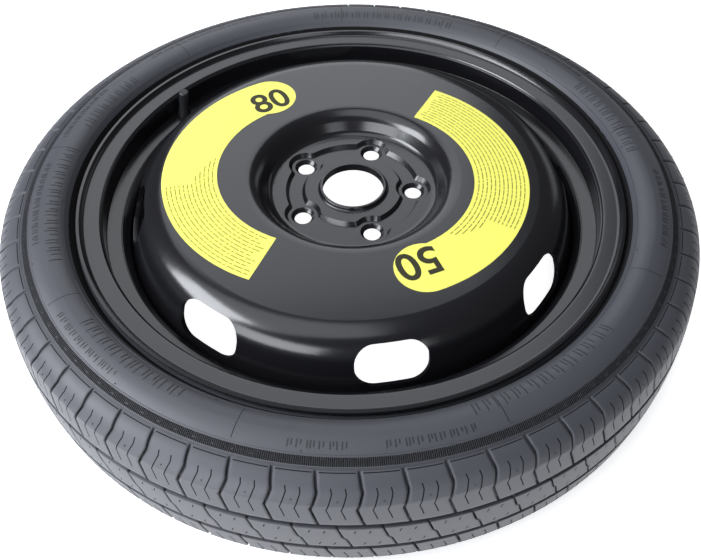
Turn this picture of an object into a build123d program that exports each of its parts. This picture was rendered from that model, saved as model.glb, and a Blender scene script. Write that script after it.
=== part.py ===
from build123d import *
import os
from math import cos, hypot, radians, sin, tan

# Temporary spare wheel of size 125/70 R18: pressed steel wheel, tubeless tyre, snap-in valve, speed labels.
# Millimetres. The wheel lies flat. The origin is on the axis in the rim's middle plane, with +Z outboard.

# Rim, a rolled steel ring with a 3.5 inch wide J flange on each side of a drop-centre well
seat_radius = 228.6
rim_half_width = 44.45
rim_sheet = 2.5
flange_height = 18.5
flange_lip_radius = 7.0
flange_lip_end = 0.4
seat_corner_radius = 2.0
seat_width = 20.5
ledge_width = 15.6
ledge_slope = 10.0
ledge_edge_radius = 3.0
ledge_foot_radius = 3.0
well_radius = 209.5
well_half_width = 15.0
well_corner_radius = 5.0

# Wheel disc, one steel pressing
disc_sheet = 4.0
rim_clearance = 0.05
disc_flange_end = -22.0
disc_flange_corner_radius = 10.0
dome_height = 59.0
shoulder_corner_radius = 191.3
shoulder_round = 30.0
wall_slope = 18.2
bowl_corner_radius = 90.0
bowl_round = 18.0
bowl_foot_radius = 77.0
bowl_foot_round = 8.0
nave_height = 40.3
hub_bore_radius = 28.55
collar_wall = 2.7
collar_height = 3.6
collar_foot_round = 2.0
collar_lip_round = 1.2

# Bolt track, the lobed ring pressed down around the bolts so that it bears on the hub
mounting_offset = 32.5
bolt_circle = 112.0
bolt_count = 5
bolt_turn = -2.2
bolt_hole_radius = 7.75
bolt_seat_sphere = 13.0
bolt_seat_radius = 10.6
bolt_pad_radius = 13.5
track_inner_radius = 47.5
track_outer_radius = 59.5
track_blend_radius = 6.0
track_draft = 38.0

# Ventilation openings in the disc's outer wall
vent_count = 8
vent_turn = 7.1
vent_width = 59.5
vent_height = 36.5
vent_corner_radius = 16.0
vent_centre_height = 36.8

# Weld seams between disc and rim, on the inboard side
weld_count = 8
weld_angle = 20.0
weld_leg = 4.0

# Tyre
section_width = 125.0
section_height = 87.5
bead_clearance = 0.2
bead_width = 15.0
heel_radius = 7.2
flange_relief_height = 20.0
flange_relief_depth = 1.4
sidewall_foot_height = 23.4
sidewall_foot_inset = 11.3
widest_height = 41.5
band_inner_height = 59.9
band_inner_inset = 5.5
band_outer_height = 63.4
band_outer_inset = 8.1
shoulder_bulge = 3.2
tread_half_width = 41.5
crown_drop = 3.5
bead_thickness = 8.5
sidewall_thickness = 6.5
shoulder_thickness = 9.8
crown_thickness = 11.5

# Tread pattern
pitch_count = 62
main_groove_centre = 17.0
main_groove_width = 5.5
main_groove_depth = 4.5
cross_groove_width = 2.2
cross_groove_depth = 3.6
cross_groove_share = 0.36
cross_groove_foot_side = 3.2
cross_groove_lower_bend = 37.5
cross_groove_lower_side = -2.5
cross_groove_upper_bend = 48.4
cross_groove_upper_side = 1.5
cross_groove_end_side = -0.5
cross_groove_end_depth = 0.8
rib_groove_width = 1.7
rib_groove_side = 5.8
rib_groove_step = 1.3
rib_groove_step_height = 1.5

# Snap-in valve on the rim's outboard ledge
valve_turn = 142.0
valve_edge_distance = 6.9
valve_hole_radius = 5.75
valve_fit_clearance = 0.05
valve_head_radius = 7.4
valve_head_height = 5.0
valve_head_chamfer = 1.0
valve_seat_gap = 0.2
valve_bulge_radius = 6.6
valve_bulge_height = 2.5
valve_sleeve_radius = 4.9
valve_cone_height = 12.0
valve_sleeve_height = 19.5
valve_sleeve_taper = 0.3
stem_body_radius = 3.1
stem_thread_radius = 3.85
stem_thread_gap = 0.3
stem_thread_chamfer = 0.5
stem_height = 28.5
stem_bore_radius = 1.7
core_chamber_radius = 2.6
core_chamber_depth = 13.0
core_barrel_height = 7.0
core_barrel_depth = 1.2
core_clearance = 0.05
core_bore_radius = 1.35
core_wall = 0.8
gasket_height = 1.2
gasket_thickness = 0.35
pin_radius = 0.55
pin_depth = 0.25
pin_collar_radius = 1.15
pin_collar_height = 0.6
pin_clearance = 0.08
pin_head_rim = 0.4
pin_head_height = 0.5
pin_travel = 1.2
cup_radius = 1.7
cup_height = 1.0
spring_wire = 0.3
spring_turns = 5
cap_radius = 4.9
cap_thread_clearance = 0.15
cap_top = 2.6
cap_overlap = 9.0
cap_edge_round = 1.6
cap_seal_height = 1.0
cap_seal_clearance = 0.2
cap_seal_play = 0.05

# Speed labels, paper arcs with a round end
label_thickness = 0.2
label_inner_radius = 97.0
label_outer_radius = 146.5
label_sweep = 129.0
label_end_radius = 26.5
label_80_centre = (-27.0, 8.5)
label_80_turn = 116.5
label_50_centre = (13.6, -5.0)
label_50_turn = -69.3

# Sizes that follow from the ones above
tyre_radius = seat_radius + section_height
half_section = section_width / 2
flange_top = seat_radius + flange_height
seat_end = rim_half_width - seat_width
ledge_inner_radius = seat_radius - ledge_width
ledge_inner_height = seat_end - ledge_width * tan(radians(ledge_slope))
well_inner_radius = well_radius - rim_sheet
disc_flange_radius = well_inner_radius - rim_clearance
wall_foot_height = dome_height - (disc_flange_radius - shoulder_corner_radius) / tan(radians(wall_slope))
track_floor = mounting_offset + disc_sheet
nave_underside = nave_height - disc_sheet
bolt_circle_radius = bolt_circle / 2


def section_path(points, radii):
    """A path in the section plane through (radius, height) points, with each inner corner rounded."""
    return FilletPolyline(*[(r, 0, z) for r, z in points], radius=radii)


def sheet_ring(path, thickness, side):
    """The ring that a sheet of one thickness makes when its section path is spun about the wheel's axis."""
    outline = offset(path, thickness, side=side, closed=True, kind=Kind.TANGENT)
    return revolve(make_face(outline), Axis.Z)


def spun(points):
    """The ring or disc whose section is the polygon through (radius, height) points."""
    return revolve(make_face(Polyline(*[(r, 0, z) for r, z in points], close=True)), Axis.Z)


def circle_at(shape, radius, height):
    """The shape's round edges about the wheel's axis with a radius and a height."""
    rounds = shape.edges().filter_by(GeomType.CIRCLE)
    return rounds.filter_by(lambda e: abs(e.radius - radius) < 1e-3 and abs(e.center().Z - height) < 1e-3)


def rim_points():
    """The rim's tyre side, from the outboard lip to the inboard lip."""
    upper = [
        (flange_top, rim_half_width + flange_lip_radius + flange_lip_end),
        (flange_top, rim_half_width),
        (seat_radius, rim_half_width),
        (seat_radius, seat_end),
        (ledge_inner_radius, ledge_inner_height),
        (well_radius, well_half_width),
    ]
    return upper + [(r, -z) for r, z in reversed(upper)]


def rim():
    flange_corners = [flange_lip_radius, seat_corner_radius]
    well_corners = [ledge_edge_radius, ledge_foot_radius, well_corner_radius]
    upper_corners = flange_corners + well_corners
    path = section_path(rim_points(), upper_corners + upper_corners[::-1])
    ring = sheet_ring(path, rim_sheet, Side.RIGHT)
    hole = Cylinder(valve_hole_radius, 4 * rim_sheet)
    return ring - valve_plane() * hole


def disc_points():
    """The disc's outboard face, from the nave's edge at the bore to the flange's inboard edge."""
    return [
        (hub_bore_radius, nave_height),
        (bowl_foot_radius, nave_height),
        (bowl_corner_radius, dome_height),
        (shoulder_corner_radius, dome_height),
        (disc_flange_radius, wall_foot_height),
        (disc_flange_radius, disc_flange_end),
    ]


def disc_face_path():
    corners = [bowl_foot_round, bowl_round, shoulder_round, disc_flange_corner_radius]
    return section_path(disc_points(), corners)


def drafted_disc(radius, height):
    """A round block that stands on the XY plane and opens upwards at the draft angle."""
    spread = height * tan(radians(track_draft))
    return Cone(radius, radius + spread, height, align=(Align.CENTER, Align.CENTER, Align.MIN))


def track_block(bottom, height, grow):
    """The track as a block whose walls open upwards at the draft angle, grown outwards by a margin."""
    core_bottom_radius = track_inner_radius - grow
    core_top_radius = core_bottom_radius - height * tan(radians(track_draft))
    core = Cone(core_bottom_radius, core_top_radius, height, align=(Align.CENTER, Align.CENTER, Align.MIN))
    block = drafted_disc(track_outer_radius + grow, height) - core
    for place in PolarLocations(bolt_circle_radius, bolt_count, start_angle=bolt_turn):
        block += place * drafted_disc(bolt_pad_radius + grow, height)
    upright = block.edges().filter_by(lambda e: e.bounding_box().size.Z > height / 2)
    creases = upright.filter_by(GeomType.LINE, reverse=True)
    return Pos(0, 0, bottom) * fillet(creases, track_blend_radius)


def bolt_hole():
    """A bolt hole with a ball seat, standing on the mounting face."""
    sphere_centre = track_floor + (bolt_seat_sphere**2 - bolt_seat_radius**2) ** 0.5
    hole = Pos(0, 0, mounting_offset) * Cylinder(bolt_hole_radius, 4 * disc_sheet)
    return hole + Pos(0, 0, sphere_centre) * Sphere(bolt_seat_sphere)


def vent_cutter():
    """A rounded opening that goes square through the disc's outer wall."""
    wall_radius = shoulder_corner_radius + (dome_height - vent_centre_height) * tan(radians(wall_slope))
    outward = (cos(radians(wall_slope)), 0, sin(radians(wall_slope)))
    plane = Plane((wall_radius, 0, vent_centre_height), x_dir=(0, 1, 0), z_dir=outward)
    opening = RectangleRounded(vent_width, vent_height, vent_corner_radius)
    return extrude(plane * opening, shoulder_round, both=True)


def wheel_disc():
    disc = sheet_ring(disc_face_path(), disc_sheet, Side.LEFT)
    collar_radius = hub_bore_radius + collar_wall
    collar = spun([
        (hub_bore_radius, nave_underside),
        (collar_radius, nave_underside),
        (collar_radius, nave_height + collar_height),
        (hub_bore_radius, nave_height + collar_height),
    ])
    disc += collar
    disc = fillet(circle_at(disc, collar_radius, nave_height + collar_height), collar_lip_round)
    disc = fillet(circle_at(disc, collar_radius, nave_height), collar_foot_round)
    press_depth = nave_height - track_floor
    disc += track_block(mounting_offset, press_depth, disc_sheet * tan(radians(track_draft / 2)))
    disc -= track_block(track_floor, press_depth, 0)
    for place in PolarLocations(bolt_circle_radius, bolt_count, start_angle=bolt_turn):
        disc -= place * bolt_hole()
    vent = vent_cutter()
    for k in range(vent_count):
        disc -= Rot(0, 0, vent_turn + k * 360 / vent_count) * vent
    return disc


def weld_beads():
    """Fillet welds in the corner between the disc's inboard edge and the rim's well."""
    section = make_face(Polyline(
        (well_inner_radius, 0, disc_flange_end),
        (well_inner_radius - weld_leg, 0, disc_flange_end),
        (well_inner_radius, 0, disc_flange_end - weld_leg),
        close=True,
    ))
    bead = revolve(section, Axis.Z, revolution_arc=weld_angle)
    return [Rot(0, 0, k * 360 / weld_count) * bead for k in range(weld_count)]


def crown_radius_at(z):
    """The tread's outer radius at a height, on the crown's arc."""
    arc = (tread_half_width**2 + crown_drop**2) / (2 * crown_drop)
    return tyre_radius - arc + (arc**2 - z**2) ** 0.5


def shoulder_middle():
    """The middle point of the shoulder's arc, which bulges from its chord."""
    r0, z0 = seat_radius + band_outer_height, half_section - band_outer_inset
    r1, z1 = tyre_radius - crown_drop, tread_half_width
    length = hypot(r1 - r0, z1 - z0)
    return (
        (r0 + r1) / 2 + shoulder_bulge * (z0 - z1) / length,
        (z0 + z1) / 2 + shoulder_bulge * (r1 - r0) / length,
    )


def tyre_outer_edges(sign):
    """Edges of the tyre's outside from the bead's toe to the edge of the crown, on one side."""
    bead_radius = seat_radius + bead_clearance
    bead_face = rim_half_width - bead_clearance
    foot = (seat_radius + sidewall_foot_height, half_section - sidewall_foot_inset)
    bead = [
        (bead_radius, bead_face - bead_width),
        (bead_radius, bead_face),
        (flange_top - flange_lip_radius, bead_face),
        (seat_radius + flange_relief_height, bead_face + flange_relief_depth),
        foot,
    ]
    widest = (seat_radius + widest_height, half_section)
    band_inner = (seat_radius + band_inner_height, half_section - band_inner_inset)
    band_outer = (seat_radius + band_outer_height, half_section - band_outer_inset)
    crown_edge = (tyre_radius - crown_drop, tread_half_width)

    def at(point):
        return Vector(point[0], 0, sign * point[1])

    heel = FilletPolyline(*[at(p) for p in bead[:3]], radius=heel_radius)
    return [
        heel,
        Polyline(*[at(p) for p in bead[2:]]),
        TangentArc(at(widest), at(foot), tangent=(-1, 0, 0)),
        TangentArc(at(widest), at(band_inner), tangent=(1, 0, 0)),
        Line(at(band_inner), at(band_outer)),
        ThreePointArc(at(band_outer), at(shoulder_middle()), at(crown_edge)),
    ]


def tyre_inner_edges(sign):
    """Edges of the tyre's hollow from the bead's toe to the liner's crown, on one side."""
    toe = (seat_radius + bead_clearance, rim_half_width - bead_clearance - bead_width)
    bead_top = (seat_radius + sidewall_foot_height, half_section - sidewall_foot_inset - bead_thickness)
    widest = (seat_radius + widest_height, half_section - sidewall_thickness)
    shoulder = (seat_radius + band_inner_height, half_section - band_inner_inset - shoulder_thickness)
    crown_edge = (tyre_radius - crown_drop - crown_thickness, tread_half_width - sidewall_thickness)

    def at(point):
        return Vector(point[0], 0, sign * point[1])

    return [
        Line(at(toe), at(bead_top)),
        ThreePointArc(at(bead_top), at(widest), at(shoulder)),
        Line(at(shoulder), at(crown_edge)),
    ]


def tyre_carcass():
    crown = tyre_radius - crown_drop
    liner = crown - crown_thickness
    liner_half = tread_half_width - sidewall_thickness
    edges = [
        ThreePointArc((crown, 0, tread_half_width), (tyre_radius, 0, 0), (crown, 0, -tread_half_width)),
        ThreePointArc((liner, 0, liner_half), (tyre_radius - crown_thickness, 0, 0), (liner, 0, -liner_half)),
    ]
    for sign in (1, -1):
        edges += tyre_outer_edges(sign) + tyre_inner_edges(sign)
    return revolve(make_face(edges), Axis.Z)


def main_groove():
    floor = crown_radius_at(main_groove_centre) - main_groove_depth
    outside = tyre_radius + main_groove_depth
    low = main_groove_centre - main_groove_width / 2
    high = main_groove_centre + main_groove_width / 2
    return spun([(floor, low), (floor, high), (outside, high), (outside, low)])


def groove_cutter(plan, width, zone):
    """A cutter for one cross groove: its path of (sideways, height) points, as wide as stated, above a floor.

    The floor is the lower edge of a zone of (radius, height) points in the tyre's section.
    """
    left_wall = [(side - width / 2, z) for side, z in plan]
    right_wall = [(side + width / 2, z) for side, z in plan]
    outline = left_wall + right_wall[::-1]
    wall = extrude(Plane.YZ * make_face(Polyline(*outline, close=True)), tyre_radius + cross_groove_depth)
    section = make_face(Polyline(*[(r, 0, z) for r, z in zone], close=True))
    return wall & extrude(section, tread_half_width, dir=(0, 1, 0), both=True)


def shoulder_cutter():
    """The groove across one shoulder, which bends twice and runs out beside the sidewall's band."""
    outside = tyre_radius + cross_groove_depth
    bend = cross_groove_lower_bend
    middle_r, middle_z = shoulder_middle()
    end_r = seat_radius + band_outer_height + cross_groove_end_depth
    end_z = half_section - band_outer_inset
    zone = [
        (crown_radius_at(main_groove_centre) - cross_groove_depth, main_groove_centre),
        (crown_radius_at(bend) - cross_groove_depth, bend),
        (middle_r - cross_groove_depth / 2, middle_z - cross_groove_depth / 2),
        (end_r, end_z - cross_groove_end_depth),
        (end_r, half_section),
        (outside, half_section),
        (outside, main_groove_centre),
    ]
    plan = [
        (cross_groove_foot_side, main_groove_centre),
        (cross_groove_lower_side, bend),
        (cross_groove_upper_side, cross_groove_upper_bend),
        (cross_groove_end_side, end_z),
        (cross_groove_end_side, half_section),
    ]
    return groove_cutter(plan, cross_groove_width, zone)


def rib_cutter():
    """The groove across the middle rib: two slanted runs with a step between them."""
    outside = tyre_radius + cross_groove_depth
    floor = crown_radius_at(main_groove_centre) - cross_groove_depth
    reach = main_groove_centre
    zone = [(floor, -reach), (floor, reach), (outside, reach), (outside, -reach)]
    upper_run = [(-rib_groove_side, reach), (-rib_groove_step, rib_groove_step_height)]
    plan = upper_run + [(-side, -z) for side, z in reversed(upper_run)]
    return groove_cutter(plan, rib_groove_width, zone)


def tyre():
    groove = main_groove()
    carcass = tyre_carcass() - groove - mirror(groove, Plane.XY)
    step = 360 / pitch_count
    shoulder = Rot(0, 0, cross_groove_share * step) * shoulder_cutter()
    pitch = [shoulder, Rot(180, 0, 0) * shoulder, rib_cutter()]
    cutters = [Rot(0, 0, k * step) * cutter for k in range(pitch_count) for cutter in pitch]
    return carcass - cutters


def valve_plane():
    """The valve's own frame: on the ledge's visible face at the hole, with z along the stem."""
    slope = radians(ledge_slope)
    face_radius = seat_radius - rim_sheet - valve_edge_distance
    face_height = seat_end - (seat_radius - face_radius) * tan(slope) + rim_sheet / cos(slope)
    turn = radians(valve_turn)
    out = Vector(cos(turn), sin(turn), 0)
    stem = Vector(0, 0, cos(slope)) - out * sin(slope)
    base = out * face_radius + Vector(0, 0, face_height)
    return Plane(base, x_dir=Vector(-sin(turn), cos(turn), 0), z_dir=stem)


def valve_rubber():
    neck = valve_hole_radius - valve_fit_clearance
    bore = stem_body_radius + valve_fit_clearance
    under = -rim_sheet
    bottom = under - valve_head_height
    return spun([
        (bore, bottom),
        (valve_head_radius - valve_head_chamfer, bottom),
        (valve_head_radius, bottom + valve_head_height / 3),
        (valve_head_radius, under - valve_head_height / 3),
        (valve_head_radius - valve_head_chamfer, under - valve_seat_gap),
        (neck, under - valve_seat_gap),
        (neck, valve_seat_gap),
        (valve_bulge_radius, valve_seat_gap),
        (valve_bulge_radius, valve_bulge_height),
        (valve_sleeve_radius, valve_cone_height),
        (valve_sleeve_radius - valve_sleeve_taper, valve_sleeve_height),
        (bore, valve_sleeve_height),
    ])


def valve_stem():
    """The brass stem: bonded in the rubber below, threaded outside and hollow for the core above."""
    bottom = -rim_sheet - valve_head_height
    chamber_floor = stem_height - core_chamber_depth
    thread_foot = valve_sleeve_height + stem_thread_gap
    thread_end = stem_thread_radius - stem_thread_chamfer
    return spun([
        (stem_bore_radius, bottom),
        (stem_body_radius, bottom),
        (stem_body_radius, thread_foot),
        (thread_end, thread_foot),
        (stem_thread_radius, thread_foot + stem_thread_chamfer),
        (stem_thread_radius, stem_height - stem_thread_chamfer),
        (thread_end, stem_height),
        (core_chamber_radius, stem_height),
        (core_chamber_radius, chamber_floor + core_chamber_radius - stem_bore_radius),
        (stem_bore_radius, chamber_floor),
    ])


core_top = stem_height - core_barrel_depth
core_bottom = core_top - core_barrel_height


def valve_core_barrel():
    """The screwed barrel of the core, open at the top, with a floor that the spring stands on."""
    outer = core_chamber_radius - core_clearance
    waist = outer - gasket_thickness
    return spun([
        (pin_radius + pin_clearance, core_bottom),
        (waist, core_bottom),
        (waist, core_bottom + gasket_height),
        (outer, core_bottom + gasket_height),
        (outer, core_top),
        (core_bore_radius, core_top),
        (core_bore_radius, core_bottom + core_wall),
        (pin_radius + pin_clearance, core_bottom + core_wall),
    ])


def valve_core_gasket():
    outer = core_chamber_radius - core_clearance
    waist = outer - gasket_thickness
    return spun([
        (waist, core_bottom),
        (outer, core_bottom),
        (outer, core_bottom + gasket_height),
        (waist, core_bottom + gasket_height),
    ])


pin_top = stem_height - pin_depth
pin_collar_top = core_top - pin_clearance
pin_collar_bottom = pin_collar_top - pin_collar_height
cup_top = core_bottom - pin_clearance
cup_bottom = cup_top - cup_height


def valve_core_pin():
    """The core's pin with the collar that the spring lifts and the head that holds the cup."""
    return spun([
        (0, cup_bottom - pin_head_height),
        (pin_radius + pin_head_rim, cup_bottom - pin_head_height),
        (pin_radius + pin_head_rim, cup_bottom),
        (pin_radius, cup_bottom),
        (pin_radius, pin_collar_bottom),
        (pin_collar_radius, pin_collar_bottom),
        (pin_collar_radius, pin_collar_top),
        (pin_radius, pin_collar_top),
        (pin_radius, pin_top),
        (0, pin_top),
    ])


def valve_core_cup():
    return spun([
        (pin_radius, cup_bottom),
        (cup_radius, cup_bottom),
        (cup_radius, cup_top),
        (pin_radius, cup_top),
    ])


def valve_core_spring():
    """The coil between the barrel's floor and the pin's collar."""
    radius = (core_bore_radius + pin_radius) / 2
    low = core_bottom + core_wall + spring_wire / 2 + pin_clearance
    high = pin_collar_bottom - spring_wire / 2 - pin_clearance
    coil = Helix(pitch=(high - low) / spring_turns, height=high - low, radius=radius)
    wire = Plane(coil @ 0, z_dir=coil % 0) * RegularPolygon(spring_wire / 2, 6)
    return Pos(0, 0, low) * sweep(wire, path=coil, is_frenet=True)


cap_bore = stem_thread_radius + cap_thread_clearance
cap_seal_bottom = stem_height + cap_seal_clearance
cap_ceiling = cap_seal_bottom + cap_seal_height + cap_seal_play
cap_bottom = stem_height - cap_overlap


def valve_cap():
    """The screw cap, with a domed top edge."""
    top = cap_ceiling + cap_top
    body = spun([
        (cap_bore, cap_bottom),
        (cap_radius, cap_bottom),
        (cap_radius, top),
        (0, top),
        (0, cap_ceiling),
        (cap_bore, cap_ceiling),
    ])
    return fillet(body.edges().filter_by(GeomType.CIRCLE).sort_by(Axis.Z)[-1:], cap_edge_round)


def valve_cap_seal():
    return Pos(0, 0, cap_seal_bottom) * Cylinder(
        stem_thread_radius, cap_seal_height, align=(Align.CENTER, Align.CENTER, Align.MIN)
    )


def label_outline(centre, turn):
    """An arc-shaped strip with a round end at its first angle and a square end at its last."""
    outer = CenterArc((0, 0), label_outer_radius, turn, label_sweep)
    inner = CenterArc((0, 0), label_inner_radius, turn, label_sweep)
    strip = make_face([outer, inner, Line(outer @ 0, inner @ 0), Line(outer @ 1, inner @ 1)])
    end = Rot(0, 0, turn) * Pos(label_outer_radius - label_end_radius, 0) * Circle(label_end_radius)
    return Pos(*centre) * (strip + end)


def speed_label(centre, turn):
    """A label that follows the disc's outboard face."""
    film = sheet_ring(disc_face_path(), label_thickness, Side.RIGHT)
    return film & extrude(label_outline(centre, turn), 2 * dome_height)


valve_pieces = {
    "valve_rubber": valve_rubber(),
    "valve_stem": valve_stem(),
    "valve_core_barrel": valve_core_barrel(),
    "valve_core_gasket": valve_core_gasket(),
    "valve_core_pin": valve_core_pin(),
    "valve_core_cup": valve_core_cup(),
    "valve_core_spring": valve_core_spring(),
    "valve_cap": valve_cap(),
    "valve_cap_seal": valve_cap_seal(),
}

pieces = {
    "tyre": tyre(),
    "rim": rim(),
    "wheel_disc": wheel_disc(),
    "weld_beads": Compound(weld_beads()),
    "speed_label_80": speed_label(label_80_centre, label_80_turn),
    "speed_label_50": speed_label(label_50_centre, label_50_turn),
}
pieces.update({name: valve_plane() * piece for name, piece in valve_pieces.items()})

os.makedirs("parts", exist_ok=True)
for name, piece in pieces.items():
    export_step(piece, f"parts/{name}.step")
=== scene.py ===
from math import atan2, cos, hypot, pi, radians, sin, sqrt

import bmesh
import bpy
from mathutils import Matrix, Vector
from mathutils.bvhtree import BVHTree


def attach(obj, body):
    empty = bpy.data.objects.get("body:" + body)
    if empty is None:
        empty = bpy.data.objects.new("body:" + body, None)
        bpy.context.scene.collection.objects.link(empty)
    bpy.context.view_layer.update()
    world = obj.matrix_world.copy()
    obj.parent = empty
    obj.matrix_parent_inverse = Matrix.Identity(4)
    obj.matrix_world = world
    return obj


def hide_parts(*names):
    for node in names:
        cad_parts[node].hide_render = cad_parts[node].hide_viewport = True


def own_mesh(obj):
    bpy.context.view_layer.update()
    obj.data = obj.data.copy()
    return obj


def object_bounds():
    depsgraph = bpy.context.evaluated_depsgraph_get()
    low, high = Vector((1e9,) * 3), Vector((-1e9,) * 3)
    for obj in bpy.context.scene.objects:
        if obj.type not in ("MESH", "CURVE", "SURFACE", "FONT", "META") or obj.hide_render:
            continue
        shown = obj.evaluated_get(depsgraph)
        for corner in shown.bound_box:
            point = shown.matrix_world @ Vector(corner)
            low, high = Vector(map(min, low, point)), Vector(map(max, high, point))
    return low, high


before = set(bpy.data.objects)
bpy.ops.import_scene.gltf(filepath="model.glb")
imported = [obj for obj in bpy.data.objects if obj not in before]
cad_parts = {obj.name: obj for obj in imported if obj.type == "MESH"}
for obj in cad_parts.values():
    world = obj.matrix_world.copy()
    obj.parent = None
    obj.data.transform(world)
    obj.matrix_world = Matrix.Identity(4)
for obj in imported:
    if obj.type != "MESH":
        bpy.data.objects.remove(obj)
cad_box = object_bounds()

MM = 0.001

# The photograph's frame and the camera that took it
IMAGE_WIDTH = 701
FOCAL_PX = 823.85
SHIFT_RIGHT_PX = 28.08
SHIFT_UP_PX = 49.78
CAMERA_DISTANCE = 797.06 * MM
CAMERA_ELEVATION = radians(45.356)
CAMERA_AZIMUTH = radians(-1.231)
CAMERA_PAN = radians(-2.497)
CAMERA_TILT = radians(0.849)
CAMERA_ROLL = radians(1.013)
SENSOR_WIDTH = 36.0

# The tread's outside in section, in millimetres: the crown's arc and the shoulder's arc beside it
CROWN_RADIUS = 316.1
CROWN_ARC = 247.79
CROWN_EDGE = 41.5
SHOULDER_CENTRE = (290.9, 29.75)
SHOULDER_ARC = 24.68
PITCH_COUNT = 62
STEP = 2 * pi / PITCH_COUNT
SHOULDER_GROOVE_SHARE = 0.36

# Marks are laid on the tyre by a drop from outside, in millimetres, and lifted off the rubber a little
SIDEWALL_DROP = 100
TREAD_DROP = 20
MARK_LIFT = 0.06 * MM

# The middle of the tyre's section, from which outwards is told
SECTION_RADIUS = 272

# Rings of the sidewall, as radii in millimetres; the groove beside the rim and the knurled band's base are
# drawn as bands of painted shade
RIM_GROOVE = (248.2, 249.2, 250.2, 251.2, 252.0, 252.8)
KNURL_BAND = (285.6, 286.9, 288.2, 289.5, 290.8)
KNURL_RADIUS = 290
KNURL_RIBS_PER_PITCH = 20
KNURL_RIB_WIDTH = 0.84
KNURL_RIB_HEIGHT = 0.35 * MM
RAISED_RINGS = ((291.3, 292.1), (292.5, 293.2), (284.2, 285.0), (255.6, 256.2))
RAISED_RING_HEIGHT = 0.4 * MM
BLOCK_EDGE = (294.3, 295.0)
BLOCK_EDGE_START = 0.06
BLOCK_EDGE_SPAN = 0.84

# Lines across the sidewall where the mould's sectors meet, drawn as painted shade: angles in degrees, then
# millimetres
MOULD_LINE_COUNT = 9
MOULD_LINE_FIRST = 11
MOULD_LINE_STEP = 40
MOULD_LINE_RADII = [257 + 1.5 * n for n in range(18)]
MOULD_LINE_WIDTH = 0.5

# Nibs left by the mould's air holes: two rings on the sidewall and one height on the shoulder
NIB_RINGS = (258.0, 283.0)
NIB_COUNT = 24
NIB_FIRST = 6
NIB_STEP = 15
NIB_SHOULDER_HEIGHT = 44.5
NIB_RISE = 0.3
NIB_FOOT_RADIUS = 0.55 * MM
NIB_TIP_RADIUS = 0.4 * MM
NIB_LENGTH = 1.0 * MM

# Sipes and ticks, drawn as strips of painted shade, as (sideways, height) points in millimetres from the
# groove beside them
SIPE_PLAN = [(0.9, 26.6), (-0.6, 32.0), (-2.3, 37.2), (-0.4, 43.0), (1.4, 48.2), (0.6, 50.6)]
SIPE_SHARES = (0.33, 0.65)
SIPE_WIDTH = 0.9
TICK_PLAN = [(0.6, 11.0), (-0.6, 7.2)]
TICK_SHARES = (0.34, 0.67)
TICK_WIDTH = 0.9

# A face counts as turned about the axle up to this lean across, and bands blend up to this crease
TURNED_LIMIT = 0.2
TURNED_CREASE = radians(35)
TURNED_STEPS = 240
LEDGE_RADII = (213.9 * MM, 226.2 * MM)
LEDGE_HEIGHTS = (21.4 * MM, 26.0 * MM)

# Rows of bars on the sidewall: inner and outer radius, steps between bars, and each group's two angles
BAR_ROWS = (
    (260.0, 270.5, (3.4, 5.8, 3.0, 4.6, 6.6),
     ((4, 28), (64, 98), (146, 164), (171, 202), (218, 241), (287, 316))),
    (275.5, 281.0, (2.4, 3.6, 2.8, 4.6, 2.2),
     ((30, 58), (110, 138), (152, 168), (176, 197), (214, 230), (259, 268), (273, 286), (338, 358))),
)
BAR_REACH = (1.0, 0.75, 1.0, 0.6, 1.0, 1.0, 0.8)
BAR_WIDTH = 0.9
BAR_HEIGHT = 0.25
BAR_ROOT = -0.1
BAR_STATIONS = 7

# Speed labels on the dome
LABEL_TOP = 59.2 * MM
LABEL_INNER_RADIUS = 97.0 * MM
LABEL_SWEEP = radians(129.0)
NUMERAL_RADIUS = 114.5 * MM
NUMERAL_80_TURN = radians(117.3)
NUMERAL_50_TURN = radians(-71.2)
LABEL_80 = (Vector((-27.0 * MM, 8.5 * MM, 0)), radians(116.5))
LABEL_50 = (Vector((13.6 * MM, -5.0 * MM, 0)), radians(-69.3))
PRINT_LIFT = 0.04 * MM
NUMERAL_SIZE = (37.5 * MM, 30.5 * MM)
NUMERAL_FONT_SIZE = 40 * MM
NUMERAL_WEIGHT = 0.7 * MM
PRINT_HEIGHT = 1.0 * MM
PRINT_PITCH = 3.75 * MM
PRINT_GAP = 1.3 * MM
PRINT_LENGTHS = [4.0, 7.5, 3.0, 9.0, 5.5, 2.5, 8.0, 6.0, 3.5, 10.0, 4.5]
PRINT_INNER_MARGIN = 4.0 * MM
PRINT_END_MARGIN = 3 * MM
PRINT_DROP = 0.2
ROW_STARTS_80 = [0.42, 0.44, 0.47, 0.5, 0.52] + [0.56] * 7
ROW_STARTS_50 = [0.16, 0.17, 0.19, 0.22, 0.25] + [0.3] * 7

# The studio: the floor's glow fades over these distances from the wheel's middle, in metres; the glow under
# the wheel is painted light that hides the wheel's shadow where the floor shows through its holes
GLOW_UNDER_FADE = (0.2, 0.3)
GLOW_AROUND_FADE = (0.26, 0.34)
GLOW_AROUND = 0.85
FLOOR_HALF_SIZE = 6.0
BACKDROP_LIGHT = 0.1
LIGHT_COLOUR = (0.92, 0.95, 1.0)


def linear(hex_colour):
    """A six-digit sRGB colour as linear red, green, blue and alpha."""
    channels = [int(hex_colour[i:i + 2], 16) / 255 for i in (0, 2, 4)]
    return [c / 12.92 if c <= 0.04045 else ((c + 0.055) / 1.055) ** 2.4 for c in channels] + [1.0]


def add_node(tree, kind, inputs=None, **settings):
    """Adds a node with its settings; an input takes a value or another node's output."""
    node = tree.nodes.new(kind)
    for name, value in settings.items():
        setattr(node, name, value)
    for name, value in (inputs or {}).items():
        if isinstance(value, bpy.types.NodeSocket):
            tree.links.new(value, node.inputs[name])
        else:
            node.inputs[name].default_value = value
    return node


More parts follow.
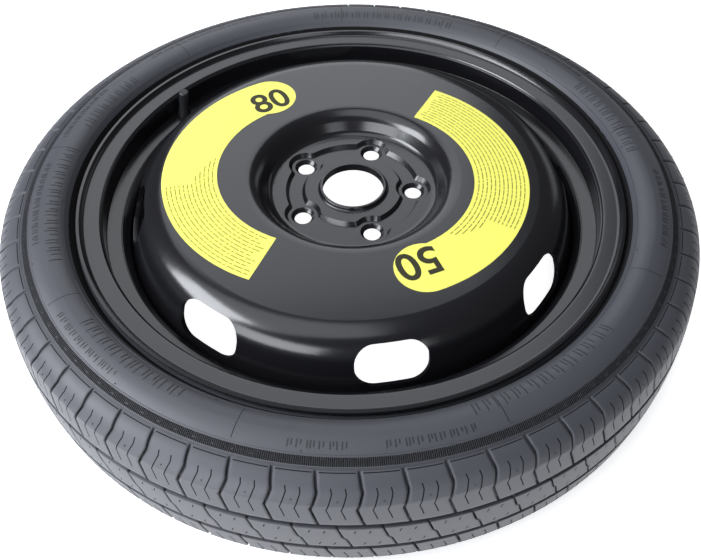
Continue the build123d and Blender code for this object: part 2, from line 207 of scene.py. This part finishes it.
def new_material(name, **principled):
    """A material with one Principled shader whose sockets are set by name, and the tree to add to."""
    material = bpy.data.materials.new(name)
    material.use_nodes = True
    tree = material.node_tree
    shader = tree.nodes["Principled BSDF"]
    for socket, value in principled.items():
        shader.inputs[socket.replace("_", " ")].default_value = value
    return material, tree, shader


def add_grain(tree, shader, grain_mm, strength, depth_mm, round_mm=0):
    """A fine uneven surface with grains of about the given size, and corners softened for the eye."""
    place = add_node(tree, "ShaderNodeTexCoord")
    noise = add_node(tree, "ShaderNodeTexNoise", {
        "Vector": place.outputs["Object"],
        "Scale": 1 / (grain_mm * MM),
        "Detail": 3.0,
    })
    bump = add_node(tree, "ShaderNodeBump", {
        "Height": noise.outputs["Fac"],
        "Strength": strength,
        "Distance": depth_mm * MM,
    })
    if round_mm:
        soft = add_node(tree, "ShaderNodeBevel", {"Radius": round_mm * MM}, samples=4)
        tree.links.new(soft.outputs["Normal"], bump.inputs["Normal"])
    tree.links.new(bump.outputs["Normal"], shader.inputs["Normal"])


def black_dip_paint():
    """Dip-coated black steel: a smooth glossy film with soft panels of light and a faint orange peel."""
    material, tree, shader = new_material(
        "black dip paint", Base_Color=linear("151518"), Roughness=0.2, IOR=1.55
    )
    add_grain(tree, shader, 3.0, 0.03, 0.05)
    return material


def tyre_rubber():
    """Moulded carbon-black rubber: dark grey, a little blue, with a broad sheen towards the light."""
    material, tree, shader = new_material(
        "moulded tyre rubber", Base_Color=linear("3d3e44"), Roughness=0.5, IOR=1.5
    )
    add_grain(tree, shader, 1.2, 0.12, 0.05, 3.0)
    return material


def painted_shade_bar_rubber():
    """Raised bars of rubber, painted a little darker than the wall around them as the shade at their edges.
    """
    return new_material("raised bars in painted shade", Base_Color=linear("1f2023"), Roughness=0.55, IOR=1.5)[0]


def painted_shade_rubber():
    """Rubber down in a cut or a fine knurl, where little light reaches: painted nearly black as shade."""
    return new_material("painted shade in cuts", Base_Color=linear("0c0c0e"), Roughness=0.9, IOR=1.3)[0]


def yellow_film():
    """Printed vinyl film: an even bright yellow with a slight gloss."""
    return new_material("yellow vinyl film", Base_Color=linear("e4e266"), Roughness=0.5, IOR=1.4)[0]


def dark_ink():
    """Screen-printed ink on the film: a dull brownish black."""
    return new_material("dark printing ink", Base_Color=linear("2c2a18"), Roughness=0.6, IOR=1.4)[0]


def fine_print_ink():
    """Ink of the fine bars, thin enough that the yellow shows through: olive."""
    return new_material("thin printing ink", Base_Color=linear("88832f"), Roughness=0.6, IOR=1.4)[0]


def valve_rubber():
    """Smooth moulded rubber of the valve's body: black with a soft highlight."""
    return new_material("smooth valve rubber", Base_Color=linear("18181a"), Roughness=0.45, IOR=1.5)[0]


def cap_plastic():
    """Moulded polypropylene of the cap: black with a soft grey highlight on its top."""
    return new_material("black polypropylene", Base_Color=linear("1a1a1d"), Roughness=0.4, IOR=1.49)[0]


def turned_brass():
    """Turned brass of the stem and core: a warm metal with a fine sheen."""
    return new_material("turned brass", Base_Color=linear("c9a552"), Roughness=0.3, Metallic=1.0)[0]


def spring_wire():
    """Drawn stainless wire: bright grey metal."""
    return new_material("drawn steel wire", Base_Color=linear("b8b8b8"), Roughness=0.25, Metallic=1.0)[0]


def new_mesh(name, shape, material):
    """Turns a bmesh into a mesh with a finish."""
    mesh = bpy.data.meshes.new(name)
    shape.to_mesh(mesh)
    shape.free()
    mesh.materials.append(material)
    return mesh


def new_object(name, data):
    """Puts a mesh, curve, lamp or camera in the scene."""
    thing = bpy.data.objects.new(name, data)
    bpy.context.scene.collection.objects.link(thing)
    return thing


def dress(material, *nodes):
    """Gives solid nodes a finish."""
    for node in nodes:
        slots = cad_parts[node].data.materials
        slots.clear()
        slots.append(material)


def finished(name, shape, material, body="wheel"):
    """Turns a bmesh into a piece of the object with its finish, slot and body, no taller than the solids."""
    for vertex in shape.verts:
        vertex.co.z = min(max(vertex.co.z, cad_box[0][2]), cad_box[1][2])
    piece = new_object(name, new_mesh(name, shape, material))
    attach(piece, body)
    return piece


def surface_of(node):
    """A tree of a solid node's faces, to drop points onto."""
    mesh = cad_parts[node].data
    points = [v.co.copy() for v in mesh.vertices]
    return BVHTree.FromPolygons(points, [tuple(p.vertices) for p in mesh.polygons])


def landed(tree, start, towards, lift):
    """Where a ray meets a surface, lifted off it along the ray."""
    hit = tree.ray_cast(start, towards)[0]
    return None if hit is None else hit - towards * lift


def on_sidewall(angle, radius_mm, side, lift=MARK_LIFT):
    """A point on the tyre's sidewall; side -1 is the lower one, turned over about X."""
    radius = radius_mm * MM
    spot = Vector((radius * cos(angle), side * radius * sin(angle), side * SIDEWALL_DROP * MM))
    return landed(tyre_surface, spot, Vector((0, 0, -side)), lift)


def on_tread(angle, height_mm, side, lift=MARK_LIFT):
    """A point on the tread or its shoulder at a height; side -1 is the lower half, turned over about X."""
    if abs(height_mm) <= CROWN_EDGE:
        radius = CROWN_RADIUS - CROWN_ARC + sqrt(CROWN_ARC**2 - height_mm**2)
        slope = (sqrt(CROWN_ARC**2 - height_mm**2) / CROWN_ARC, height_mm / CROWN_ARC)
    else:
        rise = height_mm - SHOULDER_CENTRE[1]
        reach = sqrt(SHOULDER_ARC**2 - rise**2)
        radius = SHOULDER_CENTRE[0] + reach
        slope = (reach / SHOULDER_ARC, rise / SHOULDER_ARC)
    out = Vector((slope[0] * cos(angle), side * slope[0] * sin(angle), side * slope[1]))
    foot = Vector((radius * cos(angle), side * radius * sin(angle), side * height_mm)) * MM
    return landed(tyre_surface, foot + out * TREAD_DROP * MM, -out, lift)


def on_ledge(point):
    """Whether a point lies on the rim's sloping ledge, which has the valve's hole in it."""
    return (LEDGE_RADII[0] < hypot(point.x, point.y) < LEDGE_RADII[1]
            and LEDGE_HEIGHTS[0] < abs(point.z) < LEDGE_HEIGHTS[1])


def turned_again(solid):
    """A copy of the rim's mesh, turned again from the same rings in even steps, apart from the ledge."""
    shape = bmesh.new()
    shape.from_mesh(solid)
    bands = {}
    old = []
    for face in shape.faces:
        if not all(on_ledge(v.co) for v in face.verts):
            old.append(face)
            rings = {(round(hypot(v.co.x, v.co.y), 5), round(v.co.z, 5)) for v in face.verts}
            if len(rings) == 2:
                middle = face.calc_center_median()
                out = face.normal.x * middle.x + face.normal.y * middle.y
                bands[tuple(sorted(rings))] = (out / hypot(middle.x, middle.y), face.normal.z)
    bmesh.ops.delete(shape, geom=old, context="FACES")
    turns = [2 * pi * k / TURNED_STEPS for k in range(TURNED_STEPS)]
    rings = {}
    for radius, height in {ring for band in bands for ring in band}:
        rings[radius, height] = [shape.verts.new((radius * cos(a), radius * sin(a), height)) for a in turns]
    for (low, high), (out, up) in bands.items():
        first, second = (low, high) if (high[1] - low[1]) * out - (high[0] - low[0]) * up > 0 else (high, low)
        for k in range(TURNED_STEPS):
            shape.faces.new((rings[first][k - 1], rings[first][k], rings[second][k], rings[second][k - 1]))
    return new_mesh("turned_rim", shape, paint)


def turned_copy(node):
    """A copy of a turned solid whose shading follows its true round form: each corner's normal lies in the
    plane through the axle, at the slope of the bands that meet there, with wide bands counting most."""
    mesh = turned_again(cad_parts[node].data)
    spots = [(round(v.co.x, 7), round(v.co.y, 7), round(v.co.z, 7)) for v in mesh.vertices]
    bands = {}
    slopes = []
    for face in mesh.polygons:
        around = atan2(face.center.y, face.center.x)
        across = face.normal.y * cos(around) - face.normal.x * sin(around)
        slope = atan2(face.normal.z, face.normal.x * cos(around) + face.normal.y * sin(around))
        slopes.append(slope if abs(across) < TURNED_LIMIT else None)
        if abs(across) < TURNED_LIMIT:
            corners = [(hypot(spots[v][0], spots[v][1]), spots[v][2]) for v in face.vertices]
            width = max(hypot(a[0] - b[0], a[1] - b[1]) for a in corners for b in corners)
            for v in face.vertices:
                known = bands.setdefault(spots[v], {})
                known[round(slope, 2)] = max(width, known.get(round(slope, 2), 0))
    normals = []
    for face, slope in zip(mesh.polygons, slopes):
        for v in face.vertices:
            if slope is None:
                normals.append(face.normal.copy())
                continue
            total = weight = 0.0
            for other, width in bands[spots[v]].items():
                turn = (other - slope + pi) % (2 * pi) - pi
                if abs(turn) < TURNED_CREASE:
                    total += turn * width**3
                    weight += width**3
            tilt = slope + (total / weight if weight else 0)
            around = atan2(spots[v][1], spots[v][0])
            normals.append(Vector((cos(tilt) * cos(around), cos(tilt) * sin(around), sin(tilt))))
    mesh.polygons.foreach_set("use_smooth", [True] * len(mesh.polygons))
    mesh.normals_split_custom_set(normals)
    copy = new_object("turned_" + node, mesh)
    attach(copy, "wheel")
    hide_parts(node)
    return copy


def pressed_spring(node):
    """A copy of the valve core's coil with a mesh of its own, in place of the solid node, at rest."""
    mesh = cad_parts[node].data.copy()
    copy = new_object("coil_" + node, mesh)
    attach(copy, "wheel")
    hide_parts(node)
    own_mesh(copy)
    return copy


def add_strip(shape, left, right):
    """A strip of faces between two rows of points."""
    rows = [[shape.verts.new(p) for p in row] for row in (left, right)]
    for k in range(len(left) - 1):
        shape.faces.new((rows[0][k], rows[0][k + 1], rows[1][k + 1], rows[1][k]))


def add_loft(shape, sections):
    """A closed bar through a row of cross sections of as many points."""
    rings = [[shape.verts.new(p) for p in section] for section in sections]
    for low, high in zip(rings, rings[1:]):
        for k in range(len(low)):
            shape.faces.new((low[k - 1], low[k], high[k], high[k - 1]))
    shape.faces.new(rings[0][::-1])
    shape.faces.new(rings[-1])


def face_away_from_tyre(shape):
    """Turns open strips so that they face out of the tyre's section."""
    shape.normal_update()
    for face in shape.faces:
        middle = face.calc_center_median()
        ring = Vector((middle.x, middle.y, 0)).normalized() * SECTION_RADIUS * MM
        if face.normal.dot(middle - ring) < 0:
            face.normal_flip()


def finer(plan, parts=4):
    """A plan of points with more points along each straight run, so that it follows a round surface."""
    points = [plan[0]]
    for start, end in zip(plan, plan[1:]):
        for k in range(1, parts + 1):
            points.append(tuple(a + (b - a) * k / parts for a, b in zip(start, end)))
    return points


def add_tread_cut(shape, angle, plan, width, side):
    """A fine cut in the tread, drawn as a strip of painted shade lying on the surface along a plan of
    (sideways, height) points.
    """
    plan = finer(plan)
    rows = []
    for edge in (-width / 2, width / 2):
        rows.append([
            on_tread(angle + (across + edge) / CROWN_RADIUS, height, side) for across, height in plan
        ])
    add_strip(shape, *rows)


def tread_cuts():
    """Two sipes in each shoulder block and two rows of ticks on the middle rib, as thin strips of painted
    shade on the tread.
    """
    shape = bmesh.new()
    for side in (1, -1):
        for k in range(PITCH_COUNT):
            for share in SIPE_SHARES:
                add_tread_cut(shape, (k + SHOULDER_GROOVE_SHARE + share) * STEP, SIPE_PLAN, SIPE_WIDTH, side)
            for share in TICK_SHARES:
                middle = -TICK_PLAN[0][1] / 3 / CROWN_RADIUS
                add_tread_cut(shape, (k + share) * STEP + middle, TICK_PLAN, TICK_WIDTH, side)
    face_away_from_tyre(shape)
    return shape


def ring_rows(radii, side, lifts, count=4 * PITCH_COUNT):
    """Rows of points around the sidewall, one row for each radius and lift."""
    angles = [2 * pi * k / count for k in range(count + 1)]
    return [[on_sidewall(a, r, side, lift) for a in angles] for r, lift in zip(radii, lifts)]


def sidewall_lines():
    """Fine lines of painted shade: the knurled band's base, the groove beside the rim, block edges and mould
    lines.
    """
    shape = bmesh.new()
    for side in (1, -1):
        for band in (KNURL_BAND, RIM_GROOVE):
            rows = ring_rows(band, side, [MARK_LIFT] * len(band))
            for inner, outer in zip(rows, rows[1:]):
                add_strip(shape, inner, outer)
        for k in range(PITCH_COUNT):
            start = (k + SHOULDER_GROOVE_SHARE + BLOCK_EDGE_START) * STEP
            run = [start + BLOCK_EDGE_SPAN * STEP * n / 4 for n in range(5)]
            add_strip(shape, *([on_sidewall(a, radius, side) for a in run] for radius in BLOCK_EDGE))
        for k in range(MOULD_LINE_COUNT):
            middle = radians(MOULD_LINE_FIRST + MOULD_LINE_STEP * k)
            rows = []
            for edge in (-MOULD_LINE_WIDTH / 2, MOULD_LINE_WIDTH / 2):
                angle = middle + edge / SECTION_RADIUS
                rows.append([on_sidewall(angle, radius, side) for radius in MOULD_LINE_RADII])
            add_strip(shape, *rows)
    face_away_from_tyre(shape)
    return shape


def raised_rings():
    """Thin raised rings moulded beside the knurled band and near the rim."""
    shape = bmesh.new()
    for side in (1, -1):
        for inner, outer in RAISED_RINGS:
            rows = ring_rows((inner, (inner + outer) / 2, outer), side, (0.0, RAISED_RING_HEIGHT, 0.0))
            add_strip(shape, rows[0], rows[1])
            add_strip(shape, rows[1], rows[2])
    face_away_from_tyre(shape)
    return shape


def knurl():
    """The band of fine radial ribs between sidewall and shoulder."""
    shape = bmesh.new()
    count = KNURL_RIBS_PER_PITCH * PITCH_COUNT
    half = KNURL_RIB_WIDTH / 2 / KNURL_RADIUS
    for side in (1, -1):
        for k in range(count):
            angle = 2 * pi * k / count
            sections = []
            for radius in KNURL_BAND:
                sections.append([on_sidewall(angle + edge, radius, side, lift) for edge, lift in (
                    (-half, 0.0), (0, KNURL_RIB_HEIGHT), (half, 0.0),
                )])
            add_loft(shape, sections)
    bmesh.ops.recalc_face_normals(shape, faces=shape.faces)
    return shape


def sidewall_bars():
    """Raised plain bars, long and short, in two rows around the sidewall."""
    shape = bmesh.new()
    for side in (1, -1):
        for inner, outer, steps, groups in BAR_ROWS:
            for first, last in groups:
                angle, n = radians(first), 0
                while angle < radians(last):
                    half = BAR_WIDTH / 2 / inner
                    reach = BAR_REACH[n % len(BAR_REACH)] * (outer - inner)
                    sections = []
                    outline = ((-half, BAR_ROOT), (-half, BAR_HEIGHT), (half, BAR_HEIGHT), (half, BAR_ROOT))
                    for part in range(BAR_STATIONS):
                        radius = inner + reach * part / (BAR_STATIONS - 1)
                        sections.append([
                            on_sidewall(angle + edge, radius, side, lift * MM) for edge, lift in outline
                        ])
                    add_loft(shape, sections)
                    angle += steps[n % len(steps)] / inner
                    n += 1
    bmesh.ops.recalc_face_normals(shape, faces=shape.faces)
    return shape


def mould_nibs():
    """Small rubber hairs left by the mould's air holes, on the shoulder blocks and the sidewall."""
    shape = bmesh.new()
    for side in (1, -1):
        middles = [(k + SHOULDER_GROOVE_SHARE + 0.5) * STEP for k in range(PITCH_COUNT)]
        feet = [on_tread(angle, NIB_SHOULDER_HEIGHT, side, 0) for angle in middles]
        for k in range(NIB_COUNT):
            feet.append(on_sidewall(radians(NIB_FIRST + NIB_STEP * k), NIB_RINGS[k % 2], side, 0))
        for foot in feet:
            ring = Vector((foot.x, foot.y, 0)).normalized() * SECTION_RADIUS * MM
            out = (foot - ring).normalized()
            turn = out.to_track_quat("Z", "Y").to_matrix().to_4x4()
            bmesh.ops.create_cone(
                shape, cap_ends=True, segments=6, radius1=NIB_FOOT_RADIUS, radius2=NIB_TIP_RADIUS,
                depth=NIB_LENGTH, matrix=Matrix.Translation(foot + out * NIB_RISE * MM) @ turn,
            )
    return shape


def numeral(text, centre, label_turn, turn):
    """A plain number on a label's round end, with its head towards the label's outer edge."""
    curve = bpy.data.curves.new("numeral", "FONT")
    curve.body = text
    curve.size = NUMERAL_FONT_SIZE
    curve.offset = NUMERAL_WEIGHT
    curve.fill_mode = "FRONT"
    curve.resolution_u = 5
    holder = new_object("numeral", curve)
    evaluated = holder.evaluated_get(bpy.context.evaluated_depsgraph_get())
    flat = bpy.data.meshes.new_from_object(evaluated)
    shape = bmesh.new()
    shape.from_mesh(flat)
    bpy.data.objects.remove(holder)
    bpy.data.curves.remove(curve)
    bpy.data.meshes.remove(flat)
    xs = [v.co.x for v in shape.verts]
    ys = [v.co.y for v in shape.verts]
    middle = Vector(((min(xs) + max(xs)) / 2, (min(ys) + max(ys)) / 2, 0))
    bmesh.ops.translate(shape, verts=shape.verts, vec=-middle)
    stretch = (NUMERAL_SIZE[0] / (max(xs) - min(xs)), NUMERAL_SIZE[1] / (max(ys) - min(ys)), 1)
    bmesh.ops.scale(shape, verts=shape.verts, vec=stretch)
    bmesh.ops.rotate(shape, verts=shape.verts, matrix=Matrix.Rotation(label_turn - pi / 2, 3, "Z"))
    place = centre + Vector((cos(turn), sin(turn), 0)) * NUMERAL_RADIUS
    bmesh.ops.translate(shape, verts=shape.verts, vec=place + Vector((0, 0, LABEL_TOP + PRINT_LIFT)))
    return shape


def print_rows(node, centre, turn, starts):
    """Rows of plain bars on a label: each starts at a share of the sweep and runs to the square end."""
    shape = bmesh.new()
    film_surface = surface_of(node)
    for row, start in enumerate(starts):
        radius = LABEL_INNER_RADIUS + PRINT_INNER_MARGIN + row * PRINT_PITCH
        angle = turn + LABEL_SWEEP * start
        n = 3 * row
        while True:
            length = PRINT_LENGTHS[n % len(PRINT_LENGTHS)] * MM
            if angle + length / radius > turn + LABEL_SWEEP - PRINT_END_MARGIN / radius:
                break
            edges = []
            for edge in (-PRINT_HEIGHT / 2, PRINT_HEIGHT / 2):
                spots = []
                for part in range(4):
                    a = angle + length / radius * part / 3
                    across = Vector((cos(a), sin(a), 0)) * (radius + edge)
                    spots.append(centre + across + Vector((0, 0, PRINT_DROP)))
                edges.append([landed(film_surface, spot, Vector((0, 0, -1)), PRINT_LIFT) for spot in spots])
            if all(p is not None for p in edges[0] + edges[1]):
                add_strip(shape, edges[1], edges[0])
            angle += (length + PRINT_GAP) / radius
            n += 1
    shape.normal_update()
    for face in shape.faces:
        if face.normal.z < 0:
            face.normal_flip()
    return shape


def set_camera():
    """The photograph's camera: where it stands, where it looks, its roll, lens and frame."""
    def towards(azimuth, elevation):
        return Vector((sin(azimuth) * cos(elevation), -cos(azimuth) * cos(elevation), sin(elevation)))

    back = towards(CAMERA_AZIMUTH + CAMERA_PAN, CAMERA_ELEVATION + CAMERA_TILT)
    right = Vector((0, 0, 1)).cross(back).normalized()
    up = back.cross(right)
    turn = Matrix((right, up, back)).transposed() @ Matrix.Rotation(CAMERA_ROLL, 3, "Z")
    data = bpy.data.cameras.new("photo camera")
    data.sensor_width = SENSOR_WIDTH
    data.lens = FOCAL_PX / IMAGE_WIDTH * SENSOR_WIDTH
    data.shift_x = -SHIFT_RIGHT_PX / IMAGE_WIDTH
    data.shift_y = -SHIFT_UP_PX / IMAGE_WIDTH
    camera = new_object("photo camera", data)
    place = towards(CAMERA_AZIMUTH, CAMERA_ELEVATION) * CAMERA_DISTANCE
    camera.matrix_world = Matrix.Translation(place) @ turn.to_4x4()
    bpy.context.scene.camera = camera


def seen_directly(tree):
    """1 where the eye looks at a surface, also through something clear, and 0 for the light it gives."""
    path = add_node(tree, "ShaderNodeLightPath")
    return add_node(
        tree, "ShaderNodeMath", {0: path.outputs["Is Camera Ray"], 1: path.outputs["Is Transmission Ray"]},
        operation="MAXIMUM",
    )


def white_studio():
    """A white backdrop for the eye, with a lower level for the light that it gives."""
    world = bpy.data.worlds.new("white studio")
    world.use_nodes = True
    bpy.context.scene.world = world
    tree = world.node_tree
    tree.nodes.clear()
    level = add_node(tree, "ShaderNodeMapRange", {
        "Value": seen_directly(tree).outputs[0],
        "From Min": 0.0,
        "From Max": 1.0,
        "To Min": BACKDROP_LIGHT,
        "To Max": 1.0,
    })
    sky = add_node(tree, "ShaderNodeBackground", {"Color": (1, 1, 1, 1), "Strength": level.outputs["Result"]})
    add_node(tree, "ShaderNodeOutputWorld", {"Surface": sky.outputs["Background"]})


def studio_floor():
    """The white floor that the wheel lies on: overexposed, and lit with painted light for the eye under the
    wheel, so that it reads white also where it shows through the holes in the wheel's shadow.
    """
    material, tree, shader = new_material("white floor", Base_Color=linear("e8e8e8"), Roughness=0.9)
    place = add_node(tree, "ShaderNodeTexCoord")
    distance = add_node(tree, "ShaderNodeVectorMath", {0: place.outputs["Object"]}, operation="LENGTH")
    under = add_node(tree, "ShaderNodeMapRange", {
        "Value": distance.outputs["Value"],
        "From Min": GLOW_UNDER_FADE[0],
        "From Max": GLOW_UNDER_FADE[1],
        "To Min": 1.0,
        "To Max": 0.0,
    })
    around = add_node(tree, "ShaderNodeMapRange", {
        "Value": distance.outputs["Value"],
        "From Min": GLOW_AROUND_FADE[0],
        "From Max": GLOW_AROUND_FADE[1],
        "To Min": 0.0,
        "To Max": GLOW_AROUND,
    })
    # Painted light: for the eye the floor glows white under the wheel, over the wheel's shadow
    glow = add_node(tree, "ShaderNodeMath", {
        0: seen_directly(tree).outputs[0], 1: under.outputs["Result"], 2: around.outputs["Result"],
    }, operation="MULTIPLY_ADD")
    shader.inputs["Emission Color"].default_value = (1, 1, 1, 1)
    tree.links.new(glow.outputs[0], shader.inputs["Emission Strength"])
    shape = bmesh.new()
    bmesh.ops.create_grid(shape, x_segments=1, y_segments=1, size=FLOOR_HALF_SIZE)
    bmesh.ops.translate(shape, verts=shape.verts, vec=(0, 0, cad_box[0][2]))
    floor = new_object("floor", new_mesh("floor", shape, material))


def soft_box(name, place, width, height, brightness):
    """A soft box of a size in metres that faces the wheel, as bright as stated against paper white."""
    data = bpy.data.lights.new(name, "AREA")
    data.shape = "RECTANGLE"
    data.size = width
    data.size_y = height
    data.energy = brightness * pi * width * height
    data.color = LIGHT_COLOUR
    lamp = new_object(name, data)
    lamp.location = place
    lamp.rotation_euler = (-Vector(place)).to_track_quat("-Z", "Y").to_euler()
    lamp.visible_camera = False


paint = black_dip_paint()
rubber = tyre_rubber()
film = yellow_film()
ink = dark_ink()
fine_ink = fine_print_ink()
# The tyre's cuts and fine lines are strips painted nearly black as the shade down in them
cut = painted_shade_rubber()
brass = turned_brass()
dress(paint, "rim", "wheel_disc", "weld_beads")
dress(rubber, "tyre")
dress(film, "speed_label_80", "speed_label_50")
dress(valve_rubber(), "valve_rubber", "valve_core_gasket", "valve_core_cup", "valve_cap_seal")
dress(cap_plastic(), "valve_cap")
dress(brass, "valve_stem", "valve_core_barrel", "valve_core_pin")
dress(spring_wire(), "valve_core_spring")
turned_copy("rim")
pressed_spring("valve_core_spring")

tyre_surface = surface_of("tyre")
finished("tread_cuts", tread_cuts(), cut)
finished("sidewall_lines", sidewall_lines(), cut)
finished("raised_rings", raised_rings(), rubber)
finished("knurl", knurl(), rubber)
# The sidewall's raised bars are painted darker than the tyre as the shade at their edges
finished("sidewall_bars", sidewall_bars(), painted_shade_bar_rubber())
finished("mould_nibs", mould_nibs(), rubber)
finished("number_80", numeral("80", *LABEL_80, NUMERAL_80_TURN), ink)
finished("number_50", numeral("50", *LABEL_50, NUMERAL_50_TURN), ink)
finished("print_80", print_rows("speed_label_80", *LABEL_80, ROW_STARTS_80), fine_ink)
finished("print_50", print_rows("speed_label_50", *LABEL_50, ROW_STARTS_50), fine_ink)

bpy.context.scene.view_settings.view_transform = "Standard"
white_studio()
studio_floor()
soft_box("back window", (-0.33, 2.1, 1.45), 1.8, 2.0, 1.95)
soft_box("low right window", (1.7, 1.7, 0.6), 1.0, 0.6, 0.65)
soft_box("ceiling light", (-0.7, -0.1, 2.3), 2.0, 2.0, 1.9)
soft_box("front left window", (-1.4, -1.8, 0.8), 1.7, 1.4, 6.8)
soft_box("front right window", (0.75, -2.1, 0.8), 0.8, 1.2, 2.7)
soft_box("left window", (-1.15, -0.2, 0.95), 0.8, 0.7, 14.0)
set_camera()
